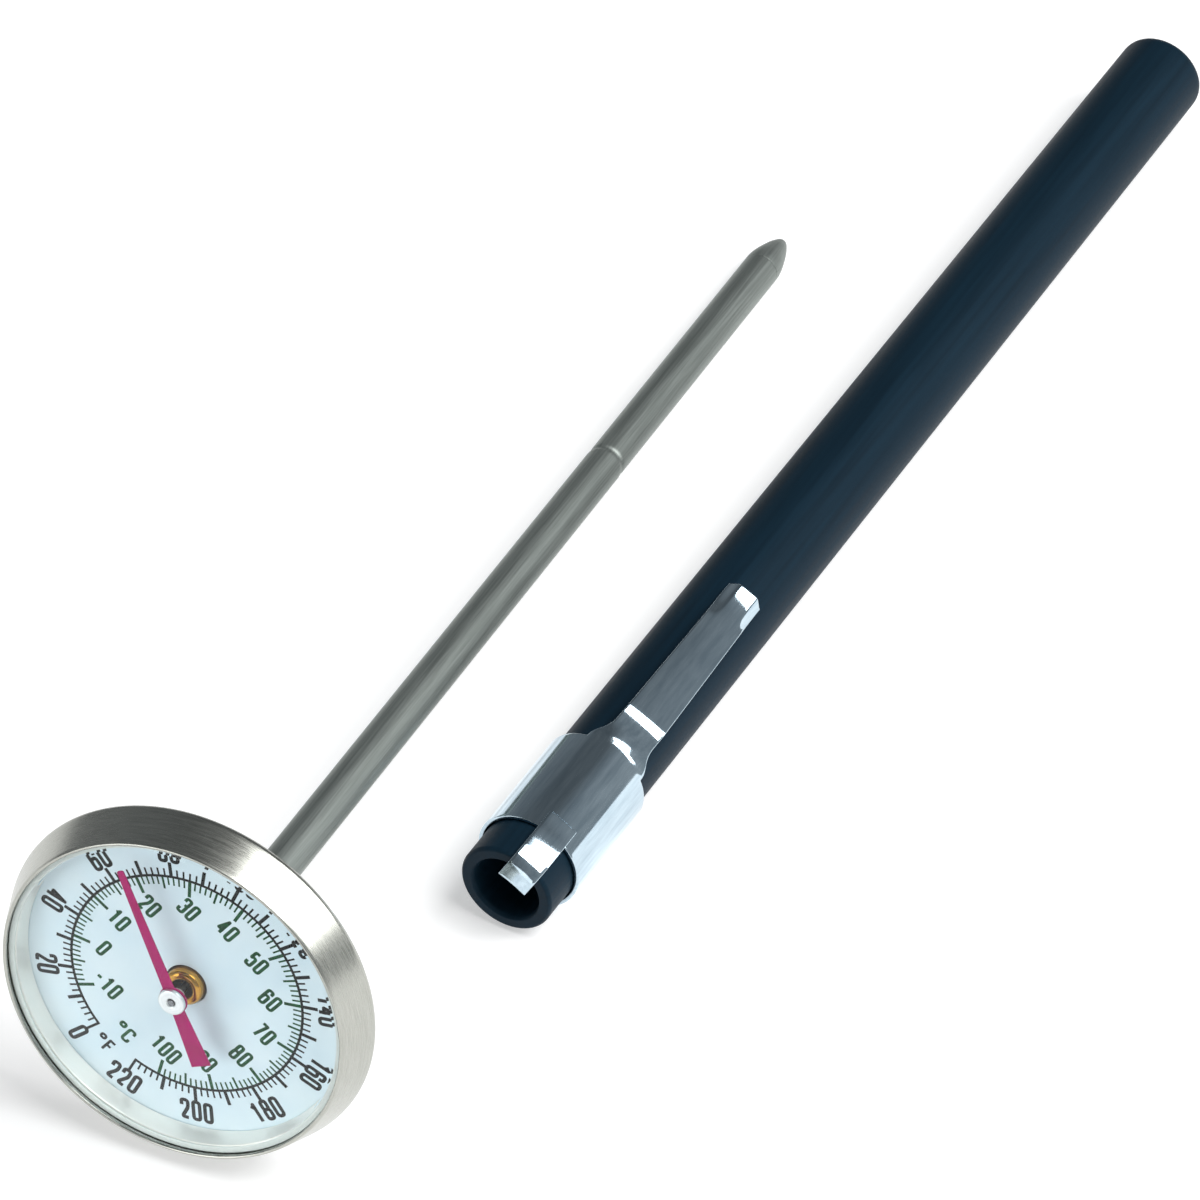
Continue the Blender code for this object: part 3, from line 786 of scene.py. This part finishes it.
def pointer_pieces(pointer):
    length = pointer.length / MM
    turn = math.radians(scale_angle(pointer.reading))
    spin = np.array(((math.cos(turn), math.sin(turn)), (-math.sin(turn), math.cos(turn))))
    line = blade_outline(length)
    along = np.roll(line, -1, 0) - np.roll(line, 1, 0)
    along /= np.linalg.norm(along, axis=1)[:, None]
    inward = np.stack((-along[:, 1], along[:, 0]), 1)
    bearing = np.arctan2(line[:, 1], line[:, 0])
    eye = 0.70 * np.stack((np.cos(bearing), np.sin(bearing)), 1)
    edge = 0.035
    loops = [(eye, 2.30), (line + inward * edge, 2.30), (line + inward * edge * 0.3, 2.31),
             (line, 2.335), (line, 2.415), (line + inward * edge * 0.3, 2.44),
             (line + inward * edge, 2.45), (eye, 2.45)]
    grid = np.stack([np.column_stack((flat @ spin, np.full(len(flat), height)))
                     for flat, height in loops])
    piece = make_piece("pointer", [(grid, grid.copy(), True, True)], pointer_lacquer(), DIAL)
    fit(piece, "pointer", "pointer_lacquer", "pointer")

    hub = rounded([(0.34, 1.45), (0.62, 1.45), (0.62, 2.50), (1.20, 2.50), (1.24, 2.60),
                   (1.24, 2.82), (1.12, 2.92), (0.50, 2.92), (0.34, 2.80)],
                  [.03, .05, .05, .05, .06, .08, .08, .06, .05])
    piece = make_piece("pointer_hub", [turned(loop(hub), 96)], turned_aluminium(), DIAL)
    fit(piece, "pointer", "hub_aluminium", "pointer_hub")
    staff = rounded([(0, -88.1), (0.28, -88.1), (0.28, 2.92), (0.20, 2.98), (0, 2.99)],
                    [.01, .04, .04, .05, .01], False)
    piece = make_piece("staff", [turned(refined(staff, 4.0), 32)],
                       hidden_metal("staff_steel", "#8E9094", "#6E7074"), DIAL)
    fit(piece, "pointer", "spring_steel", "staff")


# ---------------------------------------------------------------- sheath and clip

def sheath_piece(sheath):
    length = sheath.length / MM
    tube = rounded([(0, 127.8), (2.45, 127.8), (3.05, 127.2), (3.05, 9.0), (3.20, 0.35),
                    (3.42, 0.0), (4.30, 0.0), (4.50, 0.28), (4.38, 60.0),
                    (4.23, length - 0.05), (0, length)],
                   [.01, .3, .3, .5, .2, .1, .14, .14, 4.0, 1.1, .01], False, 8)
    tube = np.vstack((tube[:1], refined(tube[1:-1], 2.5), tube[-1:]))
    piece = make_piece("sheath_tube", [turned(tube, sheath.wall_steps)],
                       sheath_plastic(), SHEATH, 40)
    fit(piece, "sheath", "sheath_plastic", "sheath_tube")


BAND_RADIUS = 4.81
BAND_START, BAND_END = 4.1, 16.2
BAND_GAP = math.radians(5.0)
ARM_END = 39.5
ARM_RISE, RISE_START, RISE_LENGTH = 1.86, 16.3, 3.6
ARM_FALL, FALL_START = 0.072, 19.9
TIP_LIFT, TIP_START = 0.62, 36.4
ROOT_HALF_WIDTH, ARM_HALF_WIDTH, ARM_TAPER, TAB_HALF_WIDTH = 3.0, 2.15, 0.40, 1.5
TIP_FOLD = 0.85


def eased(value, first, last):
    """0 before first, 1 after last and a smooth step between."""
    share = np.clip((value - first) / (last - first), 0, 1)
    return share * share * (3 - 2 * share)


def sheet_rows(path, half, droop, blend, fan, count):
    """Rows of a strip that leaves the band. At its root a row is an arc of the band,
    x = R sin(q f), r = R cos(q f); once it has left, x = q w and r = path - 0.08 q^2
    - droop e(q), where e rises smoothly from 0 at |q| = 0.45 to 1 at the edge."""
    path = np.asarray(path, float)
    q = np.linspace(-1, 1, count)[None]
    arc_x = BAND_RADIUS * np.sin(q * fan)
    arc_r = BAND_RADIUS * (np.cos(q * fan) - 1)
    free = blend[:, None]
    x = arc_x * (1 - free) + q * half[:, None] * free
    fold = 0.08 * q ** 2 + droop[:, None] * eased(np.abs(q), 0.45, 1.0)
    r = path[:, 1:] + arc_r * (1 - free) - fold * free
    return np.stack((x, r, np.broadcast_to(path[:, :1], x.shape)), -1)


def clip_piece(clip):
    """Sleeve, arm and tab as one sheet: a middle surface thickened to the sheet's gauge."""
    count = 25
    fan = math.asin(ROOT_HALF_WIDTH / BAND_RADIUS)
    edge = math.pi - BAND_GAP / 2
    side = np.linspace(fan, edge, 60)
    angle = np.concatenate((-side[::-1], np.linspace(-fan, fan, count)[1:-1], side))
    height = np.linspace(BAND_START, BAND_END, 49)[:, None]
    radius = BAND_RADIUS + 0 * height + 0 * angle
    band = np.stack((radius * np.sin(angle), radius * np.cos(angle), height + 0 * angle), -1)

    run = np.linspace(BAND_END, ARM_END, 96)
    rising = np.clip((run - RISE_START) / RISE_LENGTH, 0, 1)
    lift = ARM_RISE * 0.5 * (1 - np.cos(math.pi * rising))
    lift -= ARM_FALL * np.maximum(run - FALL_START, 0)
    lift += TIP_LIFT * (np.maximum(run - TIP_START, 0) / (ARM_END - TIP_START)) ** 2
    spine = np.stack((run, BAND_RADIUS + lift), 1)
    share = (run - BAND_END) / (ARM_END - BAND_END)
    flare = (ROOT_HALF_WIDTH - ARM_HALF_WIDTH) * (1 - eased(run, BAND_END, 17.6))
    half = ARM_HALF_WIDTH - ARM_TAPER * share + flare
    droop = TIP_FOLD * eased(share, 0.78, 0.97)
    arm = sheet_rows(spine, half, droop, eased(run, BAND_END, 18.2), fan, count)

    tab_path = rounded([(5.9, 5.14), (4.6, 5.16), (3.1, 5.36), (0.9, 5.08), (0.05, 4.74),
                        (-0.55, 4.12), (-1.15, 2.75)], [0, .5, .8, .35, .3, .3, 0], False, 8)
    tab_path = refined(tab_path, 0.25)
    ones = np.ones(len(tab_path))
    tab = sheet_rows(tab_path, TAB_HALF_WIDTH * ones, 0 * ones, ones, fan, 11)

    points, lays, faces, start = [], [], [], 0
    for grid in (band, arm, tab):
        flat = grid.reshape(-1, 3)
        points.append(place(flat, SHEATH))
        lays.append(flat)
        faces.append(quads(grid.shape[0], grid.shape[1], False, False) + start)
        start += len(flat)
    piece = mesh_object("pocket_clip", np.concatenate(points), np.concatenate(faces),
                        np.concatenate(lays), nickel_sheet(), 40)
    bm = bmesh.new()
    bm.from_mesh(piece.data)
    bmesh.ops.recalc_face_normals(bm, faces=bm.faces)
    bm.to_mesh(piece.data)
    bm.free()
    wall = piece.modifiers.new("sheet", "SOLIDIFY")
    wall.thickness = clip.sheet
    wall.offset = 0.0
    wall.use_even_offset = True
    edge = piece.modifiers.new("edge", "BEVEL")
    edge.width = 0.07 * MM
    edge.segments = 2
    edge.limit_method = "ANGLE"
    edge.angle_limit = math.radians(50)
    settle(piece, 50)
    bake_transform(piece)
    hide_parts("clip_band", "clip_arm")


# ---------------------------------------------------------------- stage

# The dial's centre as the camera has it: to the right, up and ahead.
CENTRE_IN_VIEW = np.array((-34.84, 32.29, 760.65)) * MM
FLOOR_HALF_WIDTH, FLOOR_HEIGHT = 1.5, -2e-5
# Soft boxes: name, place in metres, sides in metres and power in watts. Each faces the
# middle of the model. The strip lights the bezel and the top box lights the clip's bends.
LAMPS = (("key", (-0.42, -0.85, 0.24), (0.50, 0.50), 2.4),
         ("strip", (0.56, 0.22, 0.65), (0.34, 0.80), 5.0),
         ("front", (0.08, -0.98, 0.14), (0.40, 0.40), 0.7),
         ("top", (0.46, -0.10, 0.80), (0.46, 0.46), 6.0))
# Studio walls from -X to +X: share of the way across and brightness.
WALLS = ((0.16, 0.18), (0.32, 0.12), (0.55, 0.12), (0.70, 0.26))
LEFT_WALL, RIGHT_WALL = (0.23, 0.24, 0.25, 1), (0.36, 0.38, 0.39, 1)
WALL_TINT = np.array((0.93, 1.0, 1.06))


def build_stage(stage):
    """Floor, camera and lights. The camera keeps the dial's centre at a set place."""
    span = np.linspace(-FLOOR_HALF_WIDTH, FLOOR_HALF_WIDTH, 9)
    x, y = np.meshgrid(span, span, indexing="ij")
    grid = np.stack((x, y, np.full_like(x, FLOOR_HEIGHT)), -1)
    mesh = bpy.data.meshes.new("floor")
    mesh.from_pydata(grid.reshape(-1, 3), [], quads(9, 9, False, False)[:, ::-1].tolist())
    floor = bpy.data.objects.new("floor", mesh)
    bpy.context.scene.collection.objects.link(floor)
    mesh.materials.append(floor_paint())

    az, el = stage.azimuth, stage.elevation
    view = np.array((-math.sin(az) * math.cos(el), math.cos(az) * math.cos(el), -math.sin(el)))
    right = np.array((math.cos(az), math.sin(az), 0.0))
    up = np.cross(right, view)
    x, y, z = CENTRE_IN_VIEW
    where = DIAL[0] - (right * x - up * y + view * z)
    camera = bpy.data.objects.new("camera", bpy.data.cameras.new("camera"))
    camera.data.lens = stage.focal_length
    camera.data.sensor_width = 36.0
    camera.data.clip_start = 0.01
    camera.data.clip_end = 10.0
    matrix = np.eye(4)
    matrix[:3, 0], matrix[:3, 1], matrix[:3, 2], matrix[:3, 3] = right, up, -view, where
    camera.matrix_world = Matrix(matrix.tolist())
    bpy.context.scene.collection.objects.link(camera)
    bpy.context.scene.camera = camera

    for name, spot, size, power in LAMPS:
        data = bpy.data.lights.new(name, "AREA")
        data.shape, data.energy = "RECTANGLE", power
        data.size, data.size_y = size
        lamp = bpy.data.objects.new(name, data)
        back = np.array(spot) / np.linalg.norm(spot)
        side = np.cross((0.0, 0.0, 1.0), back) if abs(back[2]) < 0.99 else np.array((1.0, 0, 0))
        side /= np.linalg.norm(side)
        turn = np.eye(4)
        turn[:3, 0], turn[:3, 1], turn[:3, 2] = side, np.cross(back, side), back
        turn[:3, 3] = spot
        lamp.matrix_world = Matrix(turn.tolist())
        bpy.context.scene.collection.objects.link(lamp)
    world = bpy.data.worlds.new("studio")
    world.use_nodes = True
    world.node_tree.nodes.clear()
    tree = world.node_tree
    bearing = add_node(tree, "ShaderNodeSeparateXYZ", inputs={
        0: add_node(tree, "ShaderNodeTexCoord").outputs["Generated"]})
    walls = add_node(tree, "ShaderNodeValToRGB", inputs={
        0: ranged(tree, bearing.outputs["X"], 0, 1, (-1, 1))})
    ramp = walls.color_ramp
    for spot, grey in WALLS:
        ramp.elements.new(spot).color = (*(WALL_TINT * grey).tolist(), 1)
    ramp.elements[0].color = LEFT_WALL
    ramp.elements[-1].color = RIGHT_WALL
    light = add_node(tree, "ShaderNodeBackground",
                     inputs={"Color": walls.outputs["Color"], "Strength": 1.0})
    add_node(tree, "ShaderNodeOutputWorld",
             inputs={"Surface": light.outputs["Background"]})
    bpy.context.scene.world = world
    bpy.context.scene.view_settings.view_transform = "Standard"


# ---------------------------------------------------------------- operators

class THERMO_OT_case(bpy.types.Operator):
    """Builds the bezel and the case back"""
    bl_idname = "thermo.case"
    bl_label = "Case"

    def execute(self, context):
        case_pieces(context.scene.thermo_case)
        return {"FINISHED"}


class THERMO_OT_window(bpy.types.Operator):
    """Builds the window with its spacer ring and seal"""
    bl_idname = "thermo.window"
    bl_label = "Window"

    def execute(self, context):
        window_pieces(context.scene.thermo_case)
        return {"FINISHED"}


class THERMO_OT_dial(bpy.types.Operator):
    """Builds the dial plate and its print"""
    bl_idname = "thermo.dial"
    bl_label = "Dial"

    def execute(self, context):
        dial_pieces(context.scene.thermo_dial)
        return {"FINISHED"}


class THERMO_OT_stem(bpy.types.Operator):
    """Builds the stem, its tip, the bushing and the nut, and finishes the movement"""
    bl_idname = "thermo.stem"
    bl_label = "Stem"

    def execute(self, context):
        stem_pieces(context.scene.thermo_stem)
        nut_piece()
        movement_finishes()
        return {"FINISHED"}


class THERMO_OT_pointer(bpy.types.Operator):
    """Builds the pointer, its hub and the staff"""
    bl_idname = "thermo.pointer"
    bl_label = "Pointer"

    def execute(self, context):
        pointer_pieces(context.scene.thermo_pointer)
        return {"FINISHED"}


class THERMO_OT_sheath(bpy.types.Operator):
    """Builds the moulded sheath"""
    bl_idname = "thermo.sheath"
    bl_label = "Sheath"

    def execute(self, context):
        sheath_piece(context.scene.thermo_sheath)
        return {"FINISHED"}


class THERMO_OT_clip(bpy.types.Operator):
    """Builds the pocket clip"""
    bl_idname = "thermo.clip"
    bl_label = "Clip"

    def execute(self, context):
        clip_piece(context.scene.thermo_clip)
        return {"FINISHED"}


class THERMO_OT_stage(bpy.types.Operator):
    """Builds the floor, the lights and the camera"""
    bl_idname = "thermo.stage"
    bl_label = "Stage"

    def execute(self, context):
        build_stage(context.scene.thermo_stage)
        return {"FINISHED"}


OPERATORS = (THERMO_OT_case, THERMO_OT_window, THERMO_OT_dial, THERMO_OT_stem,
             THERMO_OT_pointer, THERMO_OT_sheath, THERMO_OT_clip, THERMO_OT_stage)
SETTINGS = {"thermo_case": CaseSettings, "thermo_dial": DialSettings,
            "thermo_stem": StemSettings, "thermo_pointer": PointerSettings,
            "thermo_sheath": SheathSettings, "thermo_clip": ClipSettings,
            "thermo_stage": StageSettings}


class THERMO_PT_panel(bpy.types.Panel):
    """Lists the settings and the pieces"""
    bl_label = "Pocket Dial Thermometer"
    bl_idname = "THERMO_PT_panel"
    bl_space_type = "VIEW_3D"
    bl_region_type = "UI"
    bl_category = "Thermometer"

    def draw(self, context):
        for name, group in SETTINGS.items():
            box = self.layout.box()
            for prop in group.__annotations__:
                box.prop(getattr(context.scene, name), prop)
        for operator in OPERATORS:
            self.layout.operator(operator.bl_idname)


def register():
    for cls in (*SETTINGS.values(), *OPERATORS, THERMO_PT_panel):
        bpy.utils.register_class(cls)
    for name, group in SETTINGS.items():
        setattr(bpy.types.Scene, name, PointerProperty(type=group))


def unregister():
    for name in SETTINGS:
        delattr(bpy.types.Scene, name)
    for cls in (THERMO_PT_panel, *reversed(OPERATORS), *reversed(SETTINGS.values())):
        bpy.utils.unregister_class(cls)


def main():
    register()
    for operator in OPERATORS:
        group, name = operator.bl_idname.split(".")
        getattr(getattr(bpy.ops, group), name)()


if __name__ == "__main__":
    main()
